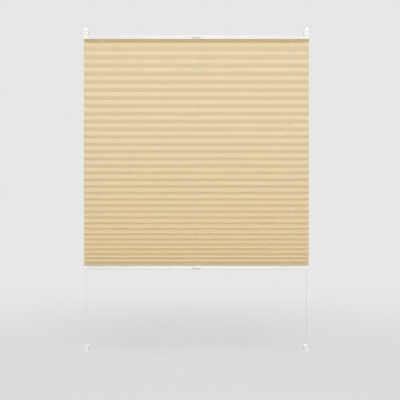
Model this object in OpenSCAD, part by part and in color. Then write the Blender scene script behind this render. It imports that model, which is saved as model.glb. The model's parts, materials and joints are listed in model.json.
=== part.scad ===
// Clamp-on pleated blind: two sliding rails on cords that are stretched between four sash clamps.
// X runs along the rails, Y into the window and Z up. The origin is the middle of the sash's top edge.

/* [Window sash] */
// Height of the sash between the two edges that the clamps grip
sash_h = 1194; // [1000:1:2000]
// Thickness of the sash edge between a clamp's foot and its pad
sash_t = 18; // [15:0.5:22]

/* [Rails] */
// Length of a rail over its end caps
rail_l = 850; // [500:10:1300]
// Height of a rail
rail_h = 15; // [14.5:0.1:18]
// Depth of a rail
rail_d = 22; // [21:0.5:26]
// Wall of a rail round its cord chamber
rail_wall = 1.3; // [1.1:0.1:1.5]
// Rounding of a rail's edges
rail_r = 2; // [1:0.1:3]
// Height of a rail's cord chamber
chamber_h = 6.7; // [6.4:0.1:7]
// Rounding of the cord chamber's corners
chamber_r = 0.8; // [0.4:0.1:1.5]
// Wall between the cord chamber and the fabric channel
web_t = 1.2; // [1:0.1:1.5]
// Thickness of the lips that hold the fabric strip
lip_t = 1.6; // [1.2:0.1:1.8]
// Width of the fabric channel behind the lips
channel_w = 18; // [17:0.1:18.5]
// Width of the slot between the lips
slot_w = 13; // [12:0.5:14]
// Width of the clip grooves that run along a rail
groove_w = 1; // [0.8:0.1:1.4]
// Depth of the clip grooves
groove_t = 0.6; // [0.4:0.1:0.7]
// Distance of the front clip groove from a rail's outer face
front_groove_at = 11.4; // [10.5:0.1:12.5]
// Distance of the outer clip groove from a rail's front face
outer_groove_at = 5; // [4:0.1:7]
// Distance from the sash face to the middle of the rails
blind_y = 14; // [13.5:0.5:18]
// Gap between the cord shoes and the top rail at rest
rest_gap = 1; // [0.5:0.1:3]

/* [End caps] */
// Length of an end cap outside its rail
cap_l = 18; // [16:0.5:24]
// Thickness of an end cap's closed end
cap_end_t = 2; // [1.5:0.1:3]
// Rounding of an end cap's outer corners
cap_r = 2.5; // [1:0.1:4]
// Length of the plug that goes into the rail
plug_l = 14; // [8:0.5:20]
// Wall of the plug
plug_wall = 0.8; // [0.6:0.1:0.9]

/* [Grips] */
// Width of a grip
grip_w = 30; // [20:1:45]
// Wall of a grip's clip
grip_t = 1.6; // [1.2:0.1:2.2]
// How far a grip's finger lip stands out of its clip
finger_l = 9; // [6:0.5:14]
// Thickness of the finger lip
finger_t = 2.4; // [2:0.1:3.2]
// Distance of the finger lip from the rail's outer face
finger_at = 6; // [4:0.1:8]
// Rounding of a grip's corners seen from the front
grip_r = 2.5; // [1:0.1:4]

/* [Pleated fabric] */
// Height of fabric between the two rails at rest
drop = 848; // [400:1:1400]
// Depth of one panel from fold to fold
pleat = 20; // [18:0.5:22]
// Thickness of the fabric
fabric_t = 0.36; // [0.25:0.01:0.5]
// Width of the hem that lies on the fabric strip
hem_w = 14; // [12:0.5:15]
// Height of the top panel as a share of its depth
open_top_share = 0.78; // [0.6:0.01:0.85]
// Height of the bottom panel as a share of its depth
open_bottom_share = 0.35; // [0.25:0.01:0.5]
// How late the pleats close up towards the bottom: 1 is even, more is later
open_power = 1.7; // [1:0.1:3]
// Thickness of the strip that holds a hem in its rail
strip_t = 1.6; // [1.2:0.1:1.8]

/* [Cords] */
// Diameter of a cord
cord_d = 1; // [0.8:0.1:1.2]
// Distance of the free cords from a rail's ends
cord_inset = 11; // [9:0.5:13]
// Distance of the outer cord holes from a rail's ends
hole_inset = 72; // [50:1:120]
// Distance of the middle cord holes from the rail's middle
middle_hole_x = 6; // [-20:1:20]
// Diameter of the cord holes in the fabric
fabric_hole_d = 4.5; // [3.5:0.1:6]
// Distance between neighbouring cords from front to back
lane = 3.2; // [3:0.1:3.6]
// Distance between neighbouring cords' runs in height
level = 1.4; // [1.3:0.1:1.6]
// Radius of a cord's turns in the rails
turn_r = 2.2; // [2:0.1:2.4]
// Diameter of the knot at a cord's end
knot_d = 2.8; // [2.4:0.1:2.9]
// Outside diameter of a cord guide's flange
guide_d = 8; // [7.5:0.1:10]
// Outside diameter of a cord guide's spigot
spigot_d = 5.4; // [4.6:0.1:6.5]
// Thickness of a cord guide's flange
flange_t = 0.8; // [0.6:0.1:0.9]

/* [Clamps] */
// Width of a clamp
clamp_w = 20; // [18:0.5:24]
// Height of a cord shoe with the floor over it, on the sash face
shoe_h = 14.5; // [13:0.1:18]
// Thickness of a clamp's foot
foot_t = 3; // [2.5:0.1:4]
// Height of a clamp's nose beyond the sash edge
nose_h = 16; // [14.5:0.5:20]
// Radius of the nose's tip
nose_r = 6; // [5.5:0.1:7]
// Rounding of a clamp's front edges
clamp_r = 2; // [1:0.1:3]
// Thickness of the floor between nose and shoe
floor_t = 1.5; // [1.2:0.1:2.5]
// Height of the screw's axis over the sash edge
screw_z = 7; // [6.5:0.1:7.5]
// Diameter of the screw's shank
screw_d = 5; // [4:0.1:5.4]
// Diameter of the screw's head
head_d = 8.4; // [7.5:0.1:8.8]
// Height of the screw's head
head_h = 4; // [3:0.1:5]
// Width across the flats of the screw's hex socket
socket_w = 4; // [3:0.1:4.5]
// Wall that the screw's head pulls on
seat_t = 1.8; // [1.4:0.1:2.5]
// Thickness of the hook's steel
hook_t = 1.5; // [1.2:0.1:2]
// Width of the hook
hook_w = 12; // [10:0.5:14]
// Reach of the hook's leg behind the sash
leg_h = 9; // [7:0.5:12]
// Length of the hook's threaded lug along the screw
lug_l = 3; // [2.5:0.1:4]
// Width of the threaded lug
lug_w = 9; // [8:0.1:9.4]
// Thickness of the rubber pad with its ribs
pad_t = 1; // [0.8:0.1:1.6]
// Wall of a cord shoe in front of its knots
shoe_wall = 1.2; // [1:0.1:2]

/* [Hidden] */
$fn = 48;
// Clearances: seated pieces, sliding pieces, the screw's thread and a cord in its bore.
fit_gap = 0.15;
slide_gap = 0.3;
thread_gap = 0.05;
cord_gap = 0.7;
overrun = 1;

// Rail section, measured from the rail's outer face towards the fabric.
chamber_w = rail_d - 2 * rail_wall;
web_z = rail_wall + chamber_h;
channel_z = web_z + web_t;
channel_h = rail_h - channel_z - lip_t;
strip_w = channel_w - 2 * slide_gap;
strip_z = channel_z + fit_gap;
hem_z = strip_z + strip_t + fit_gap + fabric_t / 2;
cord_z = rail_wall + chamber_h / 2 - level / 4;

// Places along X.
rail_cut = rail_l / 2 - cap_l;
cord_x = rail_l / 2 - cord_inset;
hole_x = rail_l / 2 - hole_inset;
hole_xs = [-hole_x, middle_hole_x, hole_x];
fabric_l = rail_l - 2 * (cap_end_t + slide_gap);

// Places along Z.
top_z = -shoe_h - rest_gap;
bottom_z = top_z - 2 * rail_h - drop;

// Pleats: an odd count of panels, from the front of the top rail to the back of the bottom rail.
hem_drop = drop + 2 * (rail_h - hem_z);
mean_share = open_top_share - (open_top_share - open_bottom_share) / (open_power + 1);
panels = 2 * floor(hem_drop / (2 * pleat * mean_share)) + 1;
open_shares = [
    for (k = [0 : panels - 1])
        open_top_share - (open_top_share - open_bottom_share) * pow(k / (panels - 1), open_power)
];
panel_hs = hem_drop / total(open_shares) * open_shares;
fold_zs = [for (k = 0, z = top_z - hem_z; k <= panels; z = z - panel_hs[min(k, panels - 1)], k = k + 1) z];

// Clamp depths, from the sash face towards the room.
pocket_y = blind_y - lane - knot_d / 2 - slide_gap;
pocket_l = 2 * (lane + knot_d / 2 + slide_gap);
clamp_d = pocket_y + pocket_l + shoe_wall;
relief_t = foot_t / 4;
cavity_y = clamp_d - head_h - fit_gap - seat_t;
lug_y = cavity_y / 2 - lug_l / 2 - slide_gap;
rib_share = 0.36;
neck_share = 0.6;
rib_w = clamp_w * rib_share;
rib_neck_w = rib_w * neck_share;
rib_t = foot_t / 2;
rib_l = shoe_h / 2;
rib_z = -(shoe_h + floor_t + rib_l) / 2;
shoe_floor = shoe_h / 4;
socket_share = 0.6;
knot_z = shoe_h - shoe_floor - knot_d / 2 - fit_gap;

// Stations through a knot: how far along the cord each ring lies, and its radius.
knot_steps = [for (a = [-60 : 30 : 60]) [knot_d / 2 * (1 + sin(a)), knot_d / 2 * cos(a)]];

corners = ["top_left", "top_right", "bottom_left", "bottom_right"];
ends = ["top", "bottom"];
guide_names = ["left", "middle", "right"];

function total(list, i = 0) = i == len(list) ? 0 : list[i] + total(list, i + 1);
function unit(v) = v / norm(v);
function is_top(corner) = corner[0] == "t";
function side_of(corner) = corner[len(corner) - 1] == "t" && corner[len(corner) - 2] == "h" ? 1 : -1;

// Extrudes a profile drawn in Y and Z along X, about the middle.
module across(l) {
    rotate([90, 0, 90]) linear_extrude(l, center = true) children();
}

// Extrudes an outline drawn in X and Z towards the room.
module roomward(l) {
    rotate([90, 0, 0]) linear_extrude(l) children();
}

// Round bar along Y, from its end nearest the window towards the room.
module bar_y(d, l, sides = $fn) {
    rotate([90, 0, 0]) cylinder(d = d, h = l, $fn = sides);
}

// Rectangle with round corners, hung by the middle of its upper edge.
module round_rect(w, h, r) {
    translate([-w / 2, r - h]) square([w, h - 2 * r]);
    translate([r - w / 2, -h]) square([w - 2 * r, h]);
    for (x = [r - w / 2, w / 2 - r], y = [-r, r - h])
        translate([x, y]) circle(r);
}

// Places a piece that is drawn for the top rail, with the rail's outer face at Z 0, on either rail.
module on_rail(end) {
    if (end == "top")
        translate([0, -blind_y, top_z]) children();
    else
        translate([0, -blind_y, bottom_z]) mirror([0, 0, 1]) children();
}

// Places a clamp piece that is drawn at the sash's top edge at one of the four corners.
module at_corner(corner) {
    if (is_top(corner))
        translate([side_of(corner) * cord_x, 0, 0]) children();
    else
        translate([side_of(corner) * cord_x, 0, -sash_h]) mirror([0, 0, 1]) children();
}

// Turns a piece that is drawn for the right end of a rail to the left end where needed.
module on_side(corner) {
    if (side_of(corner) > 0) children();
    else mirror([1, 0, 0]) children();
}

module channel_outline() {
    translate([-channel_w / 2, -channel_z - channel_h]) square([channel_w, channel_h]);
    translate([-slot_w / 2, -rail_h - overrun]) square([slot_w, lip_t + 2 * overrun]);
}

module rail_outline() {
    difference() {
        round_rect(rail_d, rail_h, rail_r);
        channel_outline();
        for (s = [-1, 1]) {
            translate([s * rail_d / 2 - groove_t, -front_groove_at - groove_w / 2])
                square([2 * groove_t, groove_w]);
            translate([s * (rail_d / 2 - outer_groove_at) - groove_w / 2, -groove_t])
                square([groove_w, 2 * groove_t]);
        }
    }
}

module rail(end) {
    color("white")
    on_rail(end)
    difference() {
        across(2 * rail_cut) difference() {
            rail_outline();
            translate([0, -rail_wall]) round_rect(chamber_w, chamber_h, chamber_r);
        }
        for (x = hole_xs)
            translate([x, 0, -channel_z - web_t])
                cylinder(d = spigot_d + 2 * fit_gap, h = 3 * web_t);
    }
}

// Moulded end: the rail's outline with a closed end, a hollow plug, and a slot and room where cords turn.
module rail_cap(corner) {
    end = is_top(corner) ? "top" : "bottom";
    hollow_w = chamber_w - 2 * (fit_gap + plug_wall);
    hollow_h = chamber_h - 2 * (fit_gap + plug_wall);
    hollow_end = cord_x + turn_r;
    color("snow")
    on_rail(end) on_side(corner)
    difference() {
        union() {
            intersection() {
                translate([rail_cut + cap_l / 2, 0, 0]) across(cap_l) round_rect(rail_d, rail_h, rail_r);
                translate([rail_l / 2 - rail_l / 4, rail_d / 2, -rail_h])
                    linear_extrude(rail_h) round_rect(rail_l / 2, rail_d, cap_r);
            }
            translate([rail_cut, 0, -rail_wall - fit_gap])
                across(2 * plug_l) round_rect(chamber_w - 2 * fit_gap, chamber_h - 2 * fit_gap, chamber_r);
        }
        translate([rail_cut - plug_l + (cap_l + plug_l - cap_end_t) / 2, 0, 0])
            across(cap_l + plug_l - cap_end_t) channel_outline();
        translate([rail_cut - plug_l - overrun, -hollow_w / 2, -rail_wall - fit_gap - plug_wall - hollow_h])
            cube([hollow_end - rail_cut + plug_l + overrun, hollow_w, hollow_h]);
        translate([rail_cut + cap_end_t, -hollow_w / 2, -web_z])
            cube([hollow_end - rail_cut - cap_end_t, hollow_w, chamber_h]);
        translate([cord_x, 0, -rail_wall - fit_gap - plug_wall - overrun])
            linear_extrude(rail_wall + fit_gap + plug_wall + 2 * overrun)
            translate([0, lane + cord_d / 2 + cord_gap])
            round_rect(cord_d + 2 * cord_gap, 2 * (lane + cord_d / 2 + cord_gap), cord_d / 2);
    }
}

// Clip-on handle: a wall on the rail's front, a hook over its outer edge and a finger lip.
module grip(end) {
    wall_y = -rail_d / 2 - fit_gap - grip_t;
    wall_h = front_groove_at + groove_w;
    hook_l = outer_groove_at + groove_w + grip_t + fit_gap;
    bead_w = groove_w - 2 * fit_gap;
    color("whitesmoke")
    on_rail(end)
    intersection() {
        across(grip_w) {
            translate([wall_y, -wall_h]) square([grip_t, wall_h + fit_gap + grip_t]);
            translate([wall_y, fit_gap]) square([hook_l, grip_t]);
            translate([wall_y + grip_t / 2, -front_groove_at - bead_w / 2])
                square([grip_t / 2 + groove_t, bead_w]);
            translate([outer_groove_at - rail_d / 2 - bead_w / 2, fit_gap - groove_t])
                square([bead_w, groove_t + grip_t / 2]);
            translate([wall_y - finger_l + finger_t / 2, -finger_at - finger_t])
                square([finger_l, finger_t]);
            translate([wall_y - finger_l + finger_t / 2, -finger_at - finger_t / 2]) circle(d = finger_t);
            translate([wall_y - finger_l + finger_t / 2, -finger_at - finger_t]) circle(d = finger_t / 2);
        }
        translate([0, rail_d, 0]) roomward(3 * rail_d)
            translate([0, fit_gap + grip_t]) round_rect(grip_w, wall_h + fit_gap + grip_t, grip_r);
        translate([0, rail_d, -rail_h]) linear_extrude(2 * rail_h)
            round_rect(grip_w, rail_d - wall_y + finger_l, grip_r);
    }
}

function fold_y(k) =
    let (h = (panel_hs[max(k - 1, 0)] + panel_hs[min(k, panels - 1)]) / 2)
    k == 0 || k == panels ? hem_w / 2 : sqrt(pow(pleat, 2) - pow(h, 2)) / 2;

function fold_t(k) = fabric_t * pleat / panel_hs[min(k, panels - 1)];

// One folded sheet: each fold turns a panel of even depth the other way, and the pleats close downwards.
module pleated_fabric() {
    folds = [for (k = [0 : panels]) [(k % 2 == 0 ? -1 : 1) * fold_y(k), fold_zs[k]]];
    front = [for (k = [0 : panels]) folds[k] - [fold_t(k) / 2, 0]];
    back = [for (k = [panels : -1 : 0]) folds[k] + [fold_t(k) / 2, 0]];
    color("wheat")
    translate([0, -blind_y, 0])
    difference() {
        across(fabric_l) {
            polygon(concat(front, back));
            for (z = [fold_zs[0], fold_zs[panels]])
                translate([-hem_w / 2, z - fabric_t / 2]) square([hem_w, fabric_t]);
        }
        for (x = hole_xs)
            translate([x, 0, fold_zs[panels] - overrun])
                cylinder(d = fabric_hole_d, h = hem_drop + 2 * overrun);
    }
}

module fabric_strip(end) {
    color("gainsboro")
    on_rail(end)
    difference() {
        across(fabric_l) translate([-strip_w / 2, -strip_z - strip_t]) square([strip_w, strip_t]);
        for (x = hole_xs)
            translate([x, 0, -strip_z - 2 * strip_t]) cylinder(d = fabric_hole_d, h = 3 * strip_t);
    }
}

// Flanged bushing that sits on the rail's web and turns a cord down to the fabric.
module cord_guide(end, x) {
    bore_d = cord_d + 2 * cord_gap;
    color("silver")
    on_rail(end) translate([x, 0, -channel_z])
    difference() {
        union() {
            cylinder(d = spigot_d, h = web_t + flange_t);
            translate([0, 0, web_t]) cylinder(d = guide_d, h = flange_t);
        }
        translate([0, 0, -overrun]) cylinder(d = bore_d, h = web_t + flange_t + 2 * overrun);
        translate([0, 0, web_t]) cylinder(d1 = bore_d, d2 = spigot_d, h = flange_t);
    }
}

// Replaces a square corner of a cord's route by points on an arc.
function turn(from, corner, to, steps = 4) =
    let (u = unit(from - corner), v = unit(to - corner), middle = corner + turn_r * (u + v))
    [for (i = [0 : steps]) middle - turn_r * (v * cos(90 * i / steps) + u * sin(90 * i / steps))];

// Tube of eight sides that is swept along a route's points.
module tube(points, radii) {
    last = len(points) - 1;
    count = 8;
    rings = [
        for (i = [0 : last])
            let (
                t = unit(points[min(i + 1, last)] - points[max(i - 1, 0)]),
                a = unit([0, 1, 0] - t * t[1]),
                b = cross(t, a)
            )
            for (j = [0 : count - 1])
                points[i] + radii[i] * (a * cos(360 * j / count) + b * sin(360 * j / count))
    ];
    walls = [
        for (i = [0 : last - 1], j = [0 : count - 1])
            let (k = (j + 1) % count)
            [i * count + j, (i + 1) * count + j, (i + 1) * count + k, i * count + k]
    ];
    polyhedron(rings, concat(
        walls, [[for (j = [0 : count - 1]) j], [for (j = [count - 1 : -1 : 0]) last * count + j]]));
}

// A cord from knot to knot: into the top rail at one end, down the fabric and out of the bottom rail.
module cord(from_side, to_side, x, lane_at) {
    y = -blind_y + lane_at * lane;
    top_run = top_z - cord_z - lane_at * level;
    bottom_run = bottom_z + cord_z - lane_at * level;
    a = [from_side * cord_x, y, -knot_z + knot_d / 2];
    b = [from_side * cord_x, y, top_run];
    c = [x, -blind_y, top_run];
    d = [x, -blind_y, bottom_run];
    e = [to_side * cord_x, y, bottom_run];
    f = [to_side * cord_x, y, knot_z - knot_d / 2 - sash_h];
    first = [for (s = knot_steps) a - [0, 0, s[0]]];
    final = [for (i = [len(knot_steps) - 1 : -1 : 0]) f + [0, 0, knot_steps[i][0]]];
    middle = concat(turn(a, b, c), turn(b, c, d), turn(c, d, e), turn(d, e, f));
    neck = [0, 0, knot_d];
    knot_rs = [for (s = knot_steps) s[1]];
    color("ivory")
    tube(
        concat(first, [a - neck], middle, [f + neck], final),
        concat(knot_rs, [for (i = [-1 : len(middle)]) cord_d / 2], knot_rs));
}

// Outline of a nose: straight flanks that run into a round tip.
module nose_outline() {
    tip_z = nose_h - nose_r;
    lean = atan2(tip_z, -clamp_w / 2) - asin(nose_r / norm([clamp_w / 2, tip_z]));
    touch = [nose_r * sin(lean), tip_z - nose_r * cos(lean)];
    polygon([[-clamp_w / 2, 0], [clamp_w / 2, 0], touch, [-touch[0], touch[1]]]);
    translate([0, tip_z]) circle(nose_r);
    translate([-clamp_w / 2, -floor_t]) square([clamp_w, floor_t]);
}

// Outline of the hook's strip and threaded lug, seen along the screw.
module lug_outline(gap) {
    translate([-hook_w / 2 - gap, -gap]) square([hook_w + 2 * gap, hook_t + 2 * gap]);
    translate([-lug_w / 2 - gap, -gap]) square([lug_w + 2 * gap, screw_z + gap]);
    translate([0, screw_z]) circle(d = lug_w + 2 * gap);
}

// Side view of a clamp, with round front edges.
module clamp_side() {
    translate([0, nose_h]) round_rect(2 * clamp_d, nose_h + 2 * shoe_h, clamp_r);
}

// Moulding that seats on the sash face: a foot with a snap rib, and a nose that holds the screw.
module clamp_body() {
    color("white")
    difference() {
        intersection() {
            union() {
                translate([0, -relief_t, 0]) roomward(clamp_d - relief_t) nose_outline();
                translate([-clamp_w / 2, -foot_t, -shoe_h]) cube([clamp_w, foot_t, shoe_h - floor_t / 2]);
                translate([-rib_neck_w / 2, -foot_t - 2 * rib_t, rib_z])
                    cube([rib_neck_w, foot_t + rib_t, rib_l]);
                translate([-rib_w / 2, -foot_t - 2 * rib_t, rib_z]) cube([rib_w, rib_t, rib_l]);
            }
            across(2 * clamp_w) clamp_side();
        }
        translate([0, -clamp_d + head_h + fit_gap, screw_z])
            bar_y(head_d + 2 * slide_gap, head_h + fit_gap + overrun);
        translate([0, 0, screw_z]) bar_y(screw_d + 2 * fit_gap, clamp_d);
        translate([0, overrun, 0]) roomward(cavity_y + overrun) lug_outline(slide_gap);
    }
}

// Bent steel strip: a threaded lug in the nose, a tongue over the sash edge and a leg behind it.
module clamp_hook() {
    leg_y = sash_t + pad_t;
    color("gainsboro")
    difference() {
        union() {
            across(hook_w) intersection() {
                union() {
                    translate([-lug_y - lug_l, 0]) square([lug_y + lug_l + leg_y + hook_t, hook_t]);
                    translate([leg_y, -leg_h]) square([hook_t, leg_h + hook_t]);
                }
                translate([leg_y + hook_t - 2 * clamp_d, hook_t])
                    round_rect(4 * clamp_d, 4 * leg_h, hook_t);
            }
            translate([0, -lug_y, 0]) roomward(lug_l) lug_outline(0);
        }
        translate([0, overrun, screw_z]) bar_y(screw_d + 2 * thread_gap, clamp_d);
    }
}

// Rubber pad on the hook's leg, with ribs that press on the sash.
module clamp_pad() {
    rib_d = pad_t;
    pad_h = leg_h - 2 * hook_t;
    color("dimgray")
    across(hook_w - hook_t) {
        translate([sash_t + rib_d / 2, -leg_h + hook_t / 2]) square([pad_t - rib_d / 2, pad_h]);
        for (i = [0 : 3])
            translate([sash_t + rib_d / 2, -leg_h + hook_t / 2 + rib_d / 2 + i * (pad_h - rib_d) / 3])
                circle(d = rib_d);
    }
}

// Hex-socket screw that draws the hook towards the room.
module clamp_screw() {
    color("silver")
    translate([0, 0, screw_z])
    difference() {
        union() {
            translate([0, -relief_t, 0]) bar_y(screw_d, clamp_d - head_h / 2 - relief_t);
            translate([0, -clamp_d + head_h, 0]) bar_y(head_d, head_h);
        }
        translate([0, -clamp_d + head_h * socket_share, 0]) bar_y(socket_w / cos(30), head_h + overrun, 6);
    }
}

// Plug that snaps onto the foot's rib and holds the knots.
module cord_shoe() {
    back_y = foot_t + fit_gap;
    shoe_d = clamp_d - back_y;
    height = shoe_h - floor_t - fit_gap;
    cord_slot_w = cord_d + 2 * cord_gap;
    color("white")
    difference() {
        intersection() {
            translate([0, clamp_d - 2 * back_y, -shoe_h])
                linear_extrude(height) round_rect(clamp_w, 2 * shoe_d, clamp_r);
            translate([0, -back_y, 0])
                roomward(shoe_d) translate([0, shoe_h]) round_rect(clamp_w, 2 * shoe_h, clamp_r);
        }
        translate([-rib_neck_w / 2 - fit_gap, -foot_t - 2 * rib_t, rib_z - fit_gap])
            cube([rib_neck_w + 2 * fit_gap, 2 * rib_t, rib_l + 2 * fit_gap]);
        translate([-rib_w / 2 - fit_gap, -foot_t - 2 * rib_t - fit_gap, rib_z - fit_gap])
            cube([rib_w + 2 * fit_gap, rib_t + 2 * fit_gap, rib_l + 2 * fit_gap]);
        translate([-knot_d, -pocket_y - pocket_l, -shoe_h + shoe_floor])
            cube([2 * knot_d, pocket_l, shoe_h]);
        translate([0, -pocket_y, -shoe_h - overrun])
            linear_extrude(shoe_h) round_rect(cord_slot_w, pocket_l, cord_d / 2);
    }
}

for (e = ends) rail(e);
for (c = corners) rail_cap(c);
for (e = ends) grip(e);
pleated_fabric();
for (e = ends) fabric_strip(e);
for (e = ends, i = [0 : 2])
    cord_guide(e, hole_xs[i]);
cord(-1, -1, hole_x, -1);  // cord_left
cord(1, 1, -hole_x, 1);  // cord_right
cord(-1, 1, middle_hole_x, 0);  // cord_middle
for (c = corners) at_corner(c) clamp_body();
for (c = corners) at_corner(c) clamp_hook();
for (c = corners) at_corner(c) clamp_pad();
for (c = corners) at_corner(c) clamp_screw();
for (c = corners) at_corner(c) cord_shoe();
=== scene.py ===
import json
import math

import bmesh
import bpy
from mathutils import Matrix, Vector, noise


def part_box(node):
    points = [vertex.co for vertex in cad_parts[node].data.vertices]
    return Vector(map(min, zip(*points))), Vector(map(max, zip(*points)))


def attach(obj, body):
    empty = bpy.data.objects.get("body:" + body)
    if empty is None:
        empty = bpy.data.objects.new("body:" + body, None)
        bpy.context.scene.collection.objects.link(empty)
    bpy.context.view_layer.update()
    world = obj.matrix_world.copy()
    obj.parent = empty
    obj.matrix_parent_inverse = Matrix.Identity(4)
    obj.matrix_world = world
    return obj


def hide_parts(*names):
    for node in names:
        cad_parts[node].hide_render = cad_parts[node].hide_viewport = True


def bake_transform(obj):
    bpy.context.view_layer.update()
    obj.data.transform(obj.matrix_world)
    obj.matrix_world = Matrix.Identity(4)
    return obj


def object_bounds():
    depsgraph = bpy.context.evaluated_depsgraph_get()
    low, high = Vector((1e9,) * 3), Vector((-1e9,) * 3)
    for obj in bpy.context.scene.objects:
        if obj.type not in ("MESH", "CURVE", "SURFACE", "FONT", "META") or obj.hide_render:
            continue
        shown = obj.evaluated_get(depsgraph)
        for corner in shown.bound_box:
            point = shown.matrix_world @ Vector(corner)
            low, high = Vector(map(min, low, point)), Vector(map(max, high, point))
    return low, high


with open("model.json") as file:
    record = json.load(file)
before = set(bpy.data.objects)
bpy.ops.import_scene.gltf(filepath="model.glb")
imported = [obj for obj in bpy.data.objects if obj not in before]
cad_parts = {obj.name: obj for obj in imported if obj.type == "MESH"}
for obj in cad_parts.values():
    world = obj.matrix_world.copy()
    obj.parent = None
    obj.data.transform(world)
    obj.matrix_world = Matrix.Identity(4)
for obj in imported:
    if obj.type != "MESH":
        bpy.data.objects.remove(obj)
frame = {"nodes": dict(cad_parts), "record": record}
nodes = frame["nodes"]
cadLow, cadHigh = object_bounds()
corners = ["top_left", "top_right", "bottom_left", "bottom_right"]
railEnds = ["top", "bottom"]
guideSides = ["left", "middle", "right"]
print("frame:", len(nodes), "CAD nodes")


# small helpers

def middleOf(node):
    low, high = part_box(node)
    return (low + high) / 2


def only(obj):
    bpy.ops.object.select_all(action="DESELECT")
    obj.select_set(True)
    bpy.context.view_layer.objects.active = obj


def editAll(obj):
    only(obj)
    bpy.ops.object.mode_set(mode="EDIT")
    bpy.ops.mesh.select_all(action="SELECT")


def doneEditing():
    bpy.ops.object.mode_set(mode="OBJECT")


def applyModifier(obj, kind, **settings):
    only(obj)
    modifier = obj.modifiers.new("step", kind)
    for key, value in settings.items():
        setattr(modifier, key, value)
    bpy.ops.object.modifier_apply(modifier=modifier.name)


def applyPlace():
    bpy.ops.object.transform_apply(location=True, rotation=True, scale=True)


def smooth(obj, degrees):
    only(obj)
    bpy.ops.object.shade_smooth_by_angle(angle=math.radians(degrees))


def objectFrom(bm, name):
    mesh = bpy.data.meshes.new(name)
    bm.to_mesh(mesh)
    bm.free()
    obj = bpy.data.objects.new(name, mesh)
    bpy.context.scene.collection.objects.link(obj)
    return obj


def dress(obj, material):
    obj.data.materials.clear()
    obj.data.materials.append(material)


# a corner's arc, from the side of the point before it to that of the point after it
def roundCorner(before, corner, after, radius, steps):
    back = (before - corner).normalized()
    on = (after - corner).normalized()
    half = back.angle(on) / 2
    centre = corner + (back + on).normalized() * radius / math.sin(half)
    reach = radius / math.tan(half)
    first, last = corner + back * reach - centre, corner + on * reach - centre
    sweep = first.angle(last)
    arc = []
    for i in range(steps + 1):
        t = i / steps
        spoke = first * math.sin((1 - t) * sweep) + last * math.sin(t * sweep)
        arc.append(centre + spoke / math.sin(sweep))
    return arc


# shader maths: a wire is one socket, and sums of wires add Math nodes

class Wire:
    def __init__(self, tree, socket=None):
        self.tree = tree
        self.socket = socket

    # any node: its settings are set first, then its sockets take values or wires
    def add(self, kind, settings=None, sockets=None, out=0):
        node = self.tree.nodes.new(kind)
        for key, value in (settings or {}).items():
            setattr(node, key, value)
        for key, value in (sockets or {}).items():
            if isinstance(value, Wire):
                self.tree.links.new(value.socket, node.inputs[key])
            else:
                node.inputs[key].default_value = value
        return Wire(self.tree, node.outputs[out])

    def maths(self, operation, *values):
        return self.add("ShaderNodeMath", {"operation": operation}, dict(enumerate(values)))

    def __add__(self, other):
        return self.maths("ADD", self, other)

    def __sub__(self, other):
        return self.maths("SUBTRACT", self, other)

    def __rsub__(self, other):
        return self.maths("SUBTRACT", other, self)

    def __mul__(self, other):
        return self.maths("MULTIPLY", self, other)

    __radd__ = __add__
    __rmul__ = __mul__


def newFinish(name):
    material = bpy.data.materials.new(name)
    material.use_nodes = True
    shader = material.node_tree.nodes["Principled BSDF"]
    return material, Wire(material.node_tree), shader


def plug(wire, shader, socket):
    wire.tree.links.new(wire.socket, shader.inputs[socket])


def placeOn(wire, stretch=(1, 1, 1)):
    place = wire.add("ShaderNodeTexCoord", out="Object")
    return wire.add("ShaderNodeMapping", sockets={"Vector": place, "Scale": stretch})


# a map laid on the mesh itself, as its two lengths
def mapOn(wire, name):
    place = wire.add("ShaderNodeUVMap", {"uv_map": name})
    parts = [wire.add("ShaderNodeSeparateXYZ", sockets={"Vector": place}, out=axis) for axis in ("X", "Y")]
    return place, *parts


def grain(wire, place, scale, detail=2.0):
    return wire.add("ShaderNodeTexNoise", sockets={"Vector": place, "Scale": scale, "Detail": detail})


# the second colour comes in by the amount, and either may be a wire
def tint(wire, amount, *colours):
    sockets = {"Factor": amount}
    for socket, colour in zip(("A", "B"), colours):
        sockets[socket] = colour if isinstance(colour, Wire) else (*colour, 1)
    return wire.add("ShaderNodeMix", {"data_type": "RGBA"}, sockets, out="Result")


def bump(wire, height, shader, depth):
    plug(wire.add("ShaderNodeBump", sockets={"Height": height, "Distance": depth}), shader, "Normal")


# the surface becomes a mix of the shader and a second one
def mixIn(wire, shader, share, second):
    base = Wire(wire.tree, shader.outputs[0])
    both = wire.add("ShaderNodeMixShader", sockets={0: share, 1: base, 2: second})
    plug(both, wire.tree.nodes["Material Output"], "Surface")


# finishes of the rigid pieces: a grain for the surface and a slow cloud for its colour

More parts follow.
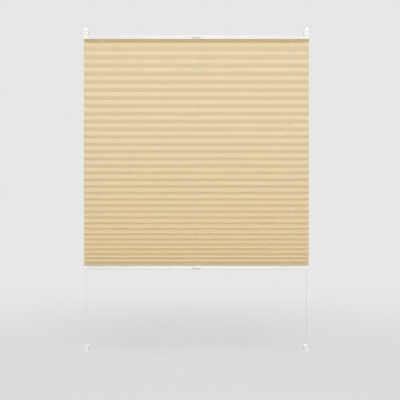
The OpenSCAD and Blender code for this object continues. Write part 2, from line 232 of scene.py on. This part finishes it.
rigidFinishes = {
    "rail_coating": {"dark": (0.77, 0.765, 0.755), "light": (0.80, 0.795, 0.785), "rough": (0.32, 0.42),
                     "grain": 1500, "depth": 0.00002, "cloud": 14},
    "cap_plastic": {"dark": (0.77, 0.765, 0.75), "light": (0.81, 0.805, 0.79), "rough": (0.40, 0.52),
                    "grain": 2600, "depth": 0.00003, "cloud": 60},
    "grip_plastic": {"dark": (0.76, 0.76, 0.755), "light": (0.81, 0.81, 0.805), "rough": (0.16, 0.26),
                     "grain": 700, "depth": 0.00001, "cloud": 80},
    "strip_plastic": {"dark": (0.62, 0.62, 0.60), "light": (0.70, 0.70, 0.68), "rough": (0.45, 0.6),
                      "grain": 1800, "depth": 0.00002, "cloud": 30},
    "guide_plastic": {"dark": (0.55, 0.55, 0.53), "light": (0.64, 0.64, 0.62), "rough": (0.4, 0.55),
                      "grain": 2500, "depth": 0.00002, "cloud": 90},
    "clamp_plastic": {"dark": (0.77, 0.77, 0.755), "light": (0.815, 0.815, 0.80), "rough": (0.34, 0.46),
                      "grain": 2600, "depth": 0.00003, "cloud": 70},
    "hook_steel": {"dark": (0.78, 0.78, 0.77), "light": (0.83, 0.83, 0.82), "rough": (0.3, 0.42),
                   "grain": 1700, "depth": 0.00002, "cloud": 60},
    "pad_rubber": {"dark": (0.035, 0.035, 0.036), "light": (0.06, 0.06, 0.062), "rough": (0.6, 0.8),
                   "grain": 3200, "depth": 0.00004, "cloud": 120},
    "screw_steel": {"dark": (0.70, 0.70, 0.71), "light": (0.82, 0.82, 0.83), "rough": (0.34, 0.5),
                    "grain": 2400, "depth": 0.00001, "cloud": 220, "metal": 1.0},
}
cloudDetail = 4.0


def rigidFinish(slot):
    look = rigidFinishes[slot]
    material, wire, shader = newFinish(slot)
    place = placeOn(wire)
    fine = grain(wire, place, look["grain"])
    cloud = grain(wire, place, look["cloud"], cloudDetail)
    plug(tint(wire, cloud, look["dark"], look["light"]), shader, "Base Color")
    smoothest, roughest = look["rough"]
    plug(smoothest + (roughest - smoothest) * fine, shader, "Roughness")
    shader.inputs["Metallic"].default_value = look.get("metal", 0.0)
    bump(wire, fine, shader, look["depth"])
    return material


# cream pleat cloth: warp and weft from the cloth's own flat map, with slubs along the weft
# painted tones along the cloth's length, each strongest at its first length from the top hem, where a share
# of the plain cloth is left in it, and gone at its second: painted shade on the panel under the top rail, a
# painted shadow on the hem in the bottom rail's gap, and painted light that makes the lower, tighter pleats
# paler

clothLook = {
    "shade": (0.86, 0.805, 0.67), "light": (0.91, 0.86, 0.755), "rough": 0.86, "sheen": 0.15,
    "yarn": 0.0011, "slub": 1040, "slubStretch": (0.06, 1, 1), "cloud": 9.0, "detail": 3.0,
    "tone": {"base": 0.2, "slub": 0.45, "cloud": 0.25, "weave": 0.16},
    "relief": {"base": 0.5, "slub": 0.25, "weave": 0.4, "depth": 0.00006},
    "through": (0.95, 0.80, 0.42), "throughShare": 0.46,
    # painted light: the cloth grows paler towards the bottom, where the tight pleats catch less light
    "paintedTones": {"paintedLightLowerPleats": {"colour": (0.985, 0.955, 0.79), "fade": (1.38, 0.75), "plain": 0.5},
                # painted shade: the top hem and the first panel are darker, as in the top rail's shadow
                "paintedShadeUnderTopRail": {"colour": (0.80, 0.70, 0.46), "fade": (0.0325, 0.0345), "plain": 0.0},
                # painted shadow: the bottom hem is dark, as in the gap between the last fold and the rail
                "paintedShadeAboveBottomRail": {"colour": (0.52, 0.42, 0.24), "fade": (1.3805, 1.3790), "plain": 0.0}},
}


def clothFinish():
    material, wire, shader = newFinish("pleat_fabric")
    tone, relief, detail = clothLook["tone"], clothLook["relief"], clothLook["detail"]
    flat, across, along = mapOn(wire, "flat")
    turn = 2 * math.pi / clothLook["yarn"]
    weave = across.maths("SINE", across * turn) * along.maths("SINE", along * turn)
    slubPlace = wire.add("ShaderNodeMapping", sockets={"Vector": flat, "Scale": clothLook["slubStretch"]})
    slub = grain(wire, slubPlace, clothLook["slub"], detail)
    cloud = grain(wire, flat, clothLook["cloud"], detail)
    amount = tone["base"] + tone["slub"] * slub + tone["cloud"] * cloud + tone["weave"] * weave
    colour = tint(wire, amount, clothLook["shade"], clothLook["light"])
    # mix in the painted shade at the rails and the painted light on the lower pleats
    for paintedTone in clothLook["paintedTones"].values():
        start, stop = paintedTone["fade"]
        plain = wire.add("ShaderNodeMapRange", sockets={"Value": along, "From Min": start, "From Max": stop,
                                                        "To Min": paintedTone["plain"]})
        colour = tint(wire, plain, paintedTone["colour"], colour)
    plug(colour, shader, "Base Color")
    shader.inputs["Roughness"].default_value = clothLook["rough"]
    shader.inputs["Sheen Weight"].default_value = clothLook["sheen"]
    height = relief["base"] + relief["weave"] * weave + relief["slub"] * slub
    bump(wire, height, shader, relief["depth"])
    glow = wire.add("ShaderNodeBsdfTranslucent", sockets={"Color": (*clothLook["through"], 1)})
    mixIn(wire, shader, clothLook["throughShare"], glow)
    return material


# braided cord: two sets of strands that cross, on the cord's own map, with painted shade darkening the
# grooves between the strands

cordLook = {"dark": (0.52, 0.52, 0.51), "light": (0.80, 0.80, 0.79), "strands": 4, "lay": 0.0022,
            "rough": 0.8, "depth": 0.00012}


def cordFinish():
    material, wire, shader = newFinish("cord_fibre")
    _, around, along = mapOn(wire, "braid")
    strands, lay = 2 * math.pi * cordLook["strands"], 2 * math.pi / cordLook["lay"]
    rightHand, leftHand = [around.maths("SINE", around * strands + along * twist) for twist in (lay, -lay)]
    braid = rightHand.maths("MAXIMUM", rightHand, leftHand) * 0.5 + 0.5
    # the dark colour falls in the grooves between strands: painted shade
    plug(tint(wire, braid, cordLook["dark"], cordLook["light"]), shader, "Base Color")
    shader.inputs["Roughness"].default_value = cordLook["rough"]
    bump(wire, braid, shader, cordLook["depth"])
    return material


finishes = {slot: rigidFinish(slot) for slot in rigidFinishes}
finishes["pleat_fabric"] = clothFinish()
finishes["cord_fibre"] = cordFinish()
for part in frame["record"]["subparts"]:
    dress(nodes[part["node"]], finishes[part["material_slot"]])
print("finishes:", len(finishes))


# a finished piece takes a slot's finish and stands for its CAD nodes
def claim(piece, slot, *stoodFor):
    dress(piece, finishes[slot])
    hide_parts(*stoodFor)


# camera at the photograph's level, square on to the blind

shot = {"distance": 2.7, "mmPerPixel": 3.76, "pixels": 400, "sensor": 36,
        "centreX": 0.0139, "centreZ": -0.6336, "eyeAbove": 0.15}


def makeCamera():
    frameWidth = shot["mmPerPixel"] * shot["pixels"] / 1000
    front = middleOf("top_rail").y
    eye = (shot["centreX"], front - shot["distance"], shot["centreZ"] + shot["eyeAbove"])
    bpy.ops.object.camera_add(location=eye, rotation=(math.pi / 2, 0, 0))
    camera = bpy.context.object
    camera.name = "camera"
    camera.data.sensor_width = shot["sensor"]
    camera.data.lens = shot["sensor"] * shot["distance"] / frameWidth
    camera.data.shift_y = -shot["eyeAbove"] / frameWidth
    bpy.context.scene.camera = camera


makeCamera()
print("camera set")


# extruded, moulded and bent pieces: copies of the CAD shapes with broken edges

softEdges = {
    "clamp_body": {"edge": 0.0003, "steps": 3, "slot": "clamp_plastic", "body": "root"},
    "cord_shoe": {"edge": 0.0003, "steps": 3, "slot": "clamp_plastic", "body": "root"},
    "clamp_hook": {"edge": 0.0002, "steps": 2, "slot": "hook_steel", "body": "hook_{}"},
    "clamp_pad": {"edge": 0.0001, "steps": 2, "slot": "pad_rubber", "body": "hook_{}"},
    "rail_cap": {"edge": 0.0003, "steps": 3, "slot": "cap_plastic", "body": "{}_rail"},
    "grip": {"edge": 0.0003, "steps": 3, "slot": "grip_plastic", "body": "{}_rail"},
    "rail": {"edge": 0.00015, "steps": 2, "slot": "rail_coating", "body": "{}_rail"},
}
cornerKinds = ["clamp_body", "cord_shoe", "clamp_hook", "clamp_pad", "rail_cap"]
copyMake = {"merge": 0.000001, "flat": 0.5, "sharp": 40, "smooth": 35}


def softCopy(node, kind, place):
    look, source = softEdges[kind], nodes[node]
    copy = bpy.data.objects.new("soft_" + node, source.data.copy())
    copy.data.transform(source.matrix_world)
    bpy.context.scene.collection.objects.link(copy)
    editAll(copy)
    bpy.ops.mesh.customdata_custom_splitnormals_clear()
    bpy.ops.mesh.remove_doubles(threshold=copyMake["merge"])
    bpy.ops.mesh.dissolve_limited(angle_limit=math.radians(copyMake["flat"]))
    bpy.ops.mesh.normals_make_consistent(inside=False)
    doneEditing()
    applyModifier(copy, "BEVEL", width=look["edge"], segments=look["steps"], limit_method="ANGLE",
                  angle_limit=math.radians(copyMake["sharp"]), use_clamp_overlap=False)
    editAll(copy)
    bpy.ops.mesh.remove_doubles(threshold=copyMake["merge"])
    doneEditing()
    smooth(copy, copyMake["smooth"])
    claim(copy, look["slot"], node)
    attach(copy, look["body"].format(place))


for corner in corners:
    for kind in cornerKinds:
        softCopy(f"{kind}_{corner}", kind, corner.split("_")[0] if kind == "rail_cap" else corner)
for end in railEnds:
    for kind in ("rail", "grip"):
        softCopy(f"{end}_{kind}", kind, end)
print("soft-edged pieces ready")


# clamp screws: a turned head with a hex socket, and a rolled thread

screwMake = {"headDepth": 0.004, "headSides": 48, "edge": 0.0003, "edgeSteps": 3, "sharp": 40,
             "socket": 0.004, "socketDepth": 0.0024, "socketSides": 6,
             "shaft": 0.005, "shaftStart": 0.0032, "pitch": 0.0008, "threadDepth": 0.0004, "crest": 0.25,
             "threadSteps": 24, "merge": 0.00001, "smooth": 35}


def cylinder(sides, radius, depth, middle):
    bpy.ops.mesh.primitive_cylinder_add(vertices=sides, radius=radius, depth=depth, location=(0, 0, middle))
    applyPlace()
    return bpy.context.object


def makeScrewHead(radius):
    depth = screwMake["headDepth"]
    head = cylinder(screwMake["headSides"], radius, depth, depth / 2)
    applyModifier(head, "BEVEL", width=screwMake["edge"], segments=screwMake["edgeSteps"],
                  limit_method="ANGLE", angle_limit=math.radians(screwMake["sharp"]))
    socket = cylinder(screwMake["socketSides"], screwMake["socket"] / math.sqrt(3), depth,
                      screwMake["socketDepth"] - depth / 2)
    applyModifier(head, "BOOLEAN", object=socket, operation="DIFFERENCE", solver="EXACT")
    bpy.data.objects.remove(socket)
    return head


# the thread's profile is a plane without its face and inner edge, narrowed to a crest and then wound up
def makeScrewShaft(start, end):
    pitch, depth, steps = screwMake["pitch"], screwMake["threadDepth"], screwMake["threadSteps"]
    middle = Vector((screwMake["shaft"] / 2 - depth / 2, 0, start + pitch / 2))
    bpy.ops.mesh.primitive_plane_add(size=1, location=middle, rotation=(math.pi / 2, 0, 0))
    shaft = bpy.context.object
    shaft.scale = (depth, pitch, 1)
    applyPlace()
    editAll(shaft)
    bpy.ops.mesh.delete(type="ONLY_FACE")
    bpy.ops.mesh.select_all(action="DESELECT")
    doneEditing()
    for vertex in shaft.data.vertices:
        vertex.select = vertex.co.x > middle.x
    bpy.ops.object.mode_set(mode="EDIT")
    bpy.ops.transform.resize(value=(1, 1, screwMake["crest"]), center_override=middle)
    bpy.ops.mesh.select_all(action="DESELECT")
    doneEditing()
    for edge in shaft.data.edges:
        edge.select = all(shaft.data.vertices[i].co.x < middle.x for i in edge.vertices)
    bpy.ops.object.mode_set(mode="EDIT")
    bpy.ops.mesh.select_mode(type="EDGE")
    bpy.ops.mesh.delete(type="EDGE")
    doneEditing()
    applyModifier(shaft, "SCREW", axis="Z", angle=2 * math.pi, screw_offset=pitch, steps=steps,
                  render_steps=steps, iterations=int((end - start) / pitch) - 1, use_merge_vertices=True,
                  merge_threshold=screwMake["merge"])
    editAll(shaft)
    bpy.ops.mesh.remove_doubles(threshold=screwMake["merge"])
    bpy.ops.mesh.fill_holes(sides=0)
    bpy.ops.mesh.select_all(action="SELECT")
    bpy.ops.mesh.normals_make_consistent(inside=False)
    doneEditing()
    return shaft


def makeScrew(corner):
    node = "clamp_screw_" + corner
    low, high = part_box(node)
    middle = middleOf(node)
    head = makeScrewHead((high.x - low.x) / 2)
    shaft = makeScrewShaft(screwMake["shaftStart"], high.y - low.y)
    only(head)
    shaft.select_set(True)
    bpy.ops.object.join()
    head.name = head.data.name = "threaded_screw_" + corner
    head.rotation_euler = (-math.pi / 2, 0, 0)
    head.location = (middle.x, low.y, middle.z)
    applyPlace()
    smooth(head, screwMake["smooth"])
    claim(head, "screw_steel", node)
    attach(head, "screw_" + corner)


for corner in corners:
    makeScrew(corner)
print("screws:", len(corners))


# pleats: the folds from hem to hem, as points to the back and up, which close up towards the bottom

clothMake = {"panelDepth": 0.020, "openTop": 0.78, "openBottom": 0.35, "openPower": 1.7, "hemWidth": 0.014,
             "thickness": 0.00036, "foldRadius": (0.0006, 0.0020), "foldSteps": 6, "reachSteps": 40,
             "sag": 0.0008, "ripple": 0.00007, "rippleFade": 2, "rippleAcross": (7, 9),
             "rippleFolds": (0.31, 0.43), "rippleSeeds": (1.7, 6.1), "hole": 0.0045, "patch": 0.0036,
             "patchHalf": 2, "columnGap": 0.022, "stillShare": 0.36, "smooth": 40}


# how far out a fold's sharp corner lies, so that a panel and its rounded folds take one panel's depth
def foldReach(height, radius):
    low, high = 0, 2 * clothMake["panelDepth"]
    for step in range(clothMake["reachSteps"]):
        reach = (low + high) / 2
        half = math.atan2(height, 2 * reach)
        straight = math.hypot(height, 2 * reach) - 2 * radius / math.tan(half)
        length = straight + radius * (math.pi - 2 * half)
        low, high = (reach, high) if length < clothMake["panelDepth"] else (low, reach)
    return reach


# an odd number of panels fills the drop, and each takes less height than the one above
def clothCorners():
    low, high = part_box("pleated_fabric")
    top = high.z - clothMake["thickness"] / 2
    bottom = low.z + clothMake["thickness"] / 2
    first, last, power = clothMake["openTop"], clothMake["openBottom"], clothMake["openPower"]
    meanShare = first - (first - last) / (power + 1)
    count = 2 * math.floor((top - bottom) / (2 * clothMake["panelDepth"] * meanShare)) + 1
    shares = [first - (first - last) * (k / (count - 1)) ** power for k in range(count)]
    heights = [(top - bottom) * share / sum(shares) for share in shares]
    hem = clothMake["hemWidth"] / 2
    openRadius, closedRadius = clothMake["foldRadius"]
    points, radii = [Vector((hem, top)), Vector((-hem, top))], [openRadius] * 2
    z = top
    for k in range(1, count):
        z -= heights[k - 1]
        radius = openRadius + (closedRadius - openRadius) * (first - shares[k]) / (first - last)
        reach = foldReach((heights[k - 1] + heights[k]) / 2, radius)
        points.append(Vector((reach if k % 2 else -reach, z)))
        radii.append(radius)
    return points + [Vector((hem, bottom)), Vector((-hem, bottom))], radii + [openRadius] * 2


foldPoints, foldRadii = clothCorners()
# cloth and cords are split at a fold at the back that never moves
stillFold = 2 * round((len(foldPoints) - 4) * clothMake["stillShare"] / 2)
stillZ = foldPoints[stillFold].y
hemTop, hemBottom = foldPoints[0].y, foldPoints[-1].y
midY = middleOf("top_rail").y
holeXs = {side: middleOf("top_cord_guide_" + side).x for side in guideSides}


def followShare(z, still, moving):
    return min(max((z - still) / (moving - still), 0), 1)


# a piece's placement is baked into its mesh
def blendBy(piece, body):
    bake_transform(piece)


# cords: each from a knot in a top shoe, through both rails, to a knot in a bottom shoe
# start and end are the shoes' sides, left is -1, and a lane keeps the runs inside the rails apart

cordMake = {"diameter": 0.001, "sides": 10, "step": 0.03, "turn": 0.0022, "turnSteps": 6, "smooth": 50,
            "knot": 0.0028, "knotRings": 5, "knotAngle": 65, "lane": 0.0032, "level": 0.0014, "depth": 0.0043}
cordRuns = {"cord_left": {"start": -1, "end": -1, "hole": "right", "lane": -1},
            "cord_right": {"start": 1, "end": 1, "hole": "left", "lane": 1},
            "cord_middle": {"start": -1, "end": 1, "hole": "middle", "lane": 0}}


def roundedRoute(points):
    route = [points[0]]
    for before, corner, after in zip(points, points[1:], points[2:]):
        route += roundCorner(before, corner, after, cordMake["turn"], cordMake["turnSteps"])
    route.append(points[-1])
    fine = [route[0]]
    for start, end in zip(route, route[1:]):
        parts = max(1, math.ceil((end - start).length / cordMake["step"]))
        fine += [start.lerp(end, i / parts) for i in range(1, parts + 1)]
    return fine


def knotRings(end, inward):
    count, radius, widest = cordMake["knotRings"], cordMake["knot"] / 2, cordMake["knotAngle"]
    angles = [math.radians(widest * (2 * i / (count - 1) - 1)) for i in range(count)]
    return [(end + inward * radius * (1 + math.sin(angle)), radius * math.cos(angle)) for angle in angles]


def cordTube(name, rings):
    bm = bmesh.new()
    layer = bm.loops.layers.uv.new("braid")
    sides = cordMake["sides"]
    turns = [2 * math.pi * j / sides for j in range(sides)]
    loops = []
    for i, (point, radius) in enumerate(rings):
        ahead = rings[min(i + 1, len(rings) - 1)][0] - rings[max(i - 1, 0)][0]
        ahead.normalize()
        out = (Vector((0, 1, 0)) - ahead * ahead.y).normalized()
        aside = ahead.cross(out)
        spokes = [radius * (out * math.cos(t) + aside * math.sin(t)) for t in turns]
        loops.append([bm.verts.new(point + spoke) for spoke in spokes])
    run = 0
    for i in range(len(rings) - 1):
        length = (rings[i + 1][0] - rings[i][0]).length
        for j in range(sides):
            k = (j + 1) % sides
            face = bm.faces.new((loops[i][j], loops[i][k], loops[i + 1][k], loops[i + 1][j]))
            spots = [(j, run), (j + 1, run), (j + 1, run + length), (j, run + length)]
            for loop, (around, along) in zip(face.loops, spots):
                loop[layer].uv = (around / sides, along)
        run += length
    bm.faces.new(list(reversed(loops[0])))
    bm.faces.new(loops[-1])
    bmesh.ops.recalc_face_normals(bm, faces=bm.faces)
    return objectFrom(bm, name)


# what a cord's two halves meet: its shoe's mouth, its rail's face and the level of its run inside the rail
def cordHalves(name):
    run = cordRuns[name]
    low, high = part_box(name)
    lift = run["lane"] * cordMake["level"]
    outerX = {-1: middleOf("cord_shoe_top_left").x, 1: middleOf("cord_shoe_top_right").x}
    topFace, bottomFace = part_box("top_rail")[1].z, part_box("bottom_rail")[0].z
    return {
        "upper": {"x": outerX[run["start"]], "end": high.z, "shoe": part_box("cord_shoe_top_left")[0].z,
                  "face": topFace, "run": topFace - cordMake["depth"] - lift, "hem": hemTop,
                  "body": "top_rail", "inward": Vector((0, 0, -1))},
        "lower": {"x": outerX[run["end"]], "end": low.z, "shoe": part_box("cord_shoe_bottom_left")[1].z,
                  "face": bottomFace, "run": bottomFace + cordMake["depth"] - lift, "hem": hemBottom,
                  "body": "bottom_rail", "inward": Vector((0, 0, 1))},
    }


# a point's share of its rail's travel: beside the rail between its shoe's mouth and the rail's face,
# elsewhere between the still fold and the hem
def cordShare(point, half):
    besideRail = abs(point.x - half["x"]) < cordMake["diameter"]
    if besideRail and (point.z - half["face"]) * half["inward"].z <= 0:
        return followShare(point.z, half["shoe"], half["face"])
    return followShare(point.z, stillZ, half["hem"])


def makeCord(name):
    run, diameter = cordRuns[name], cordMake["diameter"]
    holeX, y = holeXs[run["hole"]], midY + run["lane"] * cordMake["lane"]
    for halfName, half in cordHalves(name).items():
        x, level, inward = half["x"], half["run"], half["inward"]
        end, mouth, face = [Vector((x, y, half[key])) for key in ("end", "shoe", "face")]
        inside = [Vector((x, y, level)), Vector((holeX, midY, level)), Vector((holeX, midY, stillZ))]
        path = [end + inward * cordMake["knot"], mouth] + roundedRoute([face] + inside)
        rings = knotRings(end, inward) + [(point, diameter / 2) for point in path]
        line = [point for point, radius in rings]
        piece = cordTube(f"{name}_{halfName}", rings)
        smooth(piece, cordMake["smooth"])
        claim(piece, "cord_fibre", name)
        shares = [cordShare(point, half) for point in line for side in range(cordMake["sides"])]
        blendBy(piece, half["body"])
        length = sum((after - before).length for before, after in zip(line, line[1:]))


for cordName in cordRuns:
    makeCord(cordName)
print("cords:", 2 * len(cordRuns), "halves")


# pleated cloth: rows follow the folds and columns the width, with a patch of both round every cord hole

patchHalf = clothMake["patchHalf"]
patchOffsets = [clothMake["patch"] * k / patchHalf for k in range(-patchHalf, patchHalf + 1)]
patchLast = 2 * patchHalf


def clothRows():
    steps, last = clothMake["foldSteps"], len(foldPoints) - 1
    arcs = {i: roundCorner(*foldPoints[i - 1:i + 2], foldRadii[i], steps) for i in range(1, last)}
    rows = []
    for i in range(last):
        start = arcs[i][-1] if i in arcs else foldPoints[0]
        end = arcs[i + 1][0] if i + 1 in arcs else foldPoints[-1]
        length = (end - start).length
        middle = ((foldPoints[i] + foldPoints[i + 1]) / 2 - start).length
        patchPlaces = [(middle + offset, order) for order, offset in enumerate(patchOffsets)]
        for d, order in [(0, None)] + patchPlaces + [(length, None)]:
            rows.append({"panel": i, "start": start, "end": end, "d": d,
                         "fold": i + d / length, "patch": order})
        if i + 1 in arcs:
            for order, point in enumerate(arcs[i + 1][1:-1]):
                rows.append({"point": point, "fold": i + 1.0, "patch": None,
                             "tip": i + 1 if order == steps // 2 - 1 else None})
    # each row's length along the cloth
    run, before = 0, None
    for row in rows:
        point = sheetPoint(row)
        run += (point - before).length if before else 0
        before, row["run"] = point, run
    return rows


# a point on a panel, d along it: the panels sag a little and the hems are flat
def sheetPoint(row, shift=0):
    if "point" in row:
        return row["point"]
    ahead = row["end"] - row["start"]
    t = (row["d"] + shift) / ahead.length
    depth = clothMake["sag"] if 0 < row["panel"] < len(foldPoints) - 2 else 0
    sag = Vector((ahead.y, -ahead.x)).normalized() * (4 * t * (1 - t) * depth)
    return row["start"] + ahead * t + (sag if ahead.x > 0 else -sag)


# the folds are never quite straight across the width
def ripple(x, fold):
    fade, last = clothMake["rippleFade"], len(foldPoints) - 2
    size = clothMake["ripple"] * min(1, max(0, fold - 1) / fade, max(0, last - fold) / fade)
    waves = zip(clothMake["rippleAcross"], clothMake["rippleFolds"], clothMake["rippleSeeds"])
    return [size * noise.noise((x * across, fold * along, seed)) for across, along, seed in waves]


# each column's place, with its order where it belongs to a patch
def clothColumns(halfWidth):
    def between(start, end):
        count = math.ceil((end - start) / clothMake["columnGap"])
        return [start + (end - start) * k / count for k in range(count + 1)]

    patch = clothMake["patch"]
    columns = [(-halfWidth, None)]
    before = -halfWidth
    for side in guideSides:
        x = holeXs[side]
        columns += [(place, None) for place in between(before, x - patch)[1:-1]]
        columns += [(x + offset, order) for order, offset in enumerate(patchOffsets)]
        before = x + patch
    return columns + [(place, None) for place in between(before, halfWidth)[1:]]


def clothPiece(name, rows, columns):
    bm = bmesh.new()
    flatPlace = {}

    def put(x, row, shift=0):
        y, z = sheetPoint(row, shift)
        dy, dz = ripple(x, row["fold"])
        vert = bm.verts.new((x, midY + y + dy, z + dz))
        flatPlace[vert] = (x, row["run"] + shift)
        return vert

    def inside(order):
        return order is not None and 0 < order < patchLast

    def starts(order):
        return order is not None and order < patchLast

    grid = {(r, c): put(x, row) for r, row in enumerate(rows) for c, (x, order) in enumerate(columns)
            if not (inside(row["patch"]) and inside(order))}
    for r in range(len(rows) - 1):
        for c in range(len(columns) - 1):
            if not (starts(rows[r]["patch"]) and starts(columns[c][1])):
                bm.faces.new((grid[r, c], grid[r, c + 1], grid[r + 1, c + 1], grid[r + 1, c]))
    # a ring of faces from each patch's rim to the round edge of its hole
    rim = [(0, k) for k in range(patchLast)] + [(k, patchLast) for k in range(patchLast)]
    rim += [(patchLast - a, patchLast - b) for a, b in rim]
    ways = [Vector((b - patchHalf, a - patchHalf)).normalized() for a, b in rim]
    spokes = [way * clothMake["hole"] / 2 for way in ways]
    for r in [r for r, row in enumerate(rows) if row["patch"] == 0]:
        for c in [c for c, (x, order) in enumerate(columns) if order == 0]:
            x, middle = columns[c][0] + clothMake["patch"], rows[r + patchHalf]
            outer = [grid[r + a, c + b] for a, b in rim]
            edge = [put(x + spoke.x, middle, spoke.y) for spoke in spokes]
            for k in range(len(rim)):
                n = (k + 1) % len(rim)
                bm.faces.new((outer[k], outer[n], edge[n], edge[k]))
    layer = bm.loops.layers.uv.new("flat")
    for face in bm.faces:
        for loop in face.loops:
            loop[layer].uv = flatPlace[loop.vert]
    piece = objectFrom(bm, name)
    applyModifier(piece, "SOLIDIFY", thickness=clothMake["thickness"], offset=0)
    smooth(piece, clothMake["smooth"])
    return piece


def makeCloth():
    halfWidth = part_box("pleated_fabric")[1].x
    rows, columns = clothRows(), clothColumns(halfWidth)
    split = next(r for r, row in enumerate(rows) if row.get("tip") == stillFold)
    halves = {"upper": {"rows": rows[:split + 1], "rail": "top", "hem": hemTop},
              "lower": {"rows": rows[split:], "rail": "bottom", "hem": hemBottom}}
    for halfName, half in halves.items():
        piece = clothPiece("pleated_cloth_" + halfName, half["rows"], columns)
        claim(piece, "pleat_fabric", "pleated_fabric")
        shares = [followShare(vertex.co.z, stillZ, half["hem"]) for vertex in piece.data.vertices]
        blendBy(piece, half["rail"] + "_rail")
        flatLength = half["rows"][-1]["run"] - half["rows"][0]["run"]
        half["rail"] + "_fabric_strip"
        print(piece.name, len(piece.data.polygons), "faces")


makeCloth()


# studio: a pale floor that fades into pale air all round, and soft lamps

studio = {"floorZ": -1.33, "radius": 14.0, "sides": 96, "rough": 0.95, "fade": (0.8, 2.4),
          "nearShare": 0.55, "fibre": 6.0, "fibreDetail": 5.0, "fibreShades": (0.97, 0.06),
          "seen": (0.80, 0.80, 0.80), "bounced": (0.62, 0.62, 0.62), "air": (0.45, 0.45, 0.45)}
lamps = {
    "key": {"at": (-1.2, -5.4, 0.4), "size": (3.0, 1.4), "watts": 48},
    "fill": {"at": (1.0, -4.6, -0.5), "size": (2.4, 1.0), "watts": 44},
    "top": {"at": (0.3, -5.6, 3.7), "size": (3.4, 1.8), "watts": 150},
    "back": {"at": (0.0, 3.6, -0.8), "size": (2.4, 0.8), "watts": 44},
}


# one where the camera or a reflection looks, and zero for light on its way to the blind
def lookedAt(wire):
    camera = wire.add("ShaderNodeLightPath", out="Is Camera Ray")
    return camera + wire.add("ShaderNodeLightPath", out="Is Glossy Ray")


def makeFloor():
    bpy.ops.mesh.primitive_circle_add(vertices=studio["sides"], radius=studio["radius"], fill_type="NGON",
                                      location=(0, 0, studio["floorZ"]))
    applyPlace()
    floor = bpy.context.object
    floor.name = "studio_floor"
    material, wire, shader = newFinish("studio_floor")
    seen = lookedAt(wire)
    fibre = grain(wire, placeOn(wire), studio["fibre"], studio["fibreDetail"])
    least, spread = studio["fibreShades"]
    amount = seen * (least + spread * fibre)
    plug(tint(wire, amount, studio["bounced"], studio["seen"]), shader, "Base Color")
    shader.inputs["Roughness"].default_value = studio["rough"]
    onFloor = placeOn(wire, (1, 1, 0))
    reach = wire.add("ShaderNodeVectorMath", {"operation": "LENGTH"}, {0: onFloor}, out="Value")
    near, far = studio["fade"]
    fade = wire.add("ShaderNodeMapRange", {"interpolation_type": "SMOOTHSTEP"},
                    {"Value": reach, "From Min": near, "From Max": far})
    share = studio["nearShare"] + (1 - studio["nearShare"]) * fade
    air = wire.add("ShaderNodeEmission", sockets={"Color": (*studio["seen"], 1), "Strength": 1.0})
    mixIn(wire, shader, seen * share, air)
    dress(floor, material)


def makeLamps():
    target = (cadLow + cadHigh) / 2
    for name, lamp in lamps.items():
        place = Vector(lamp["at"])
        turn = (target - place).to_track_quat("-Z", "Y").to_euler()
        bpy.ops.object.light_add(type="AREA", location=place, rotation=turn)
        light = bpy.context.object
        light.name = name + "_lamp"
        light.visible_camera = False
        light.data.shape = "RECTANGLE"
        light.data.size, light.data.size_y = lamp["size"]
        light.data.energy = lamp["watts"]


def makeAir():
    world = bpy.data.worlds.new("studio_air")
    bpy.context.scene.world = world
    world.use_nodes = True
    wire = Wire(world.node_tree)
    colour = tint(wire, lookedAt(wire), studio["air"], studio["seen"])
    plug(colour, world.node_tree.nodes["Background"], "Color")


makeFloor()
makeLamps()
makeAir()
bpy.context.scene.view_settings.view_transform = "Standard"
print("studio ready")
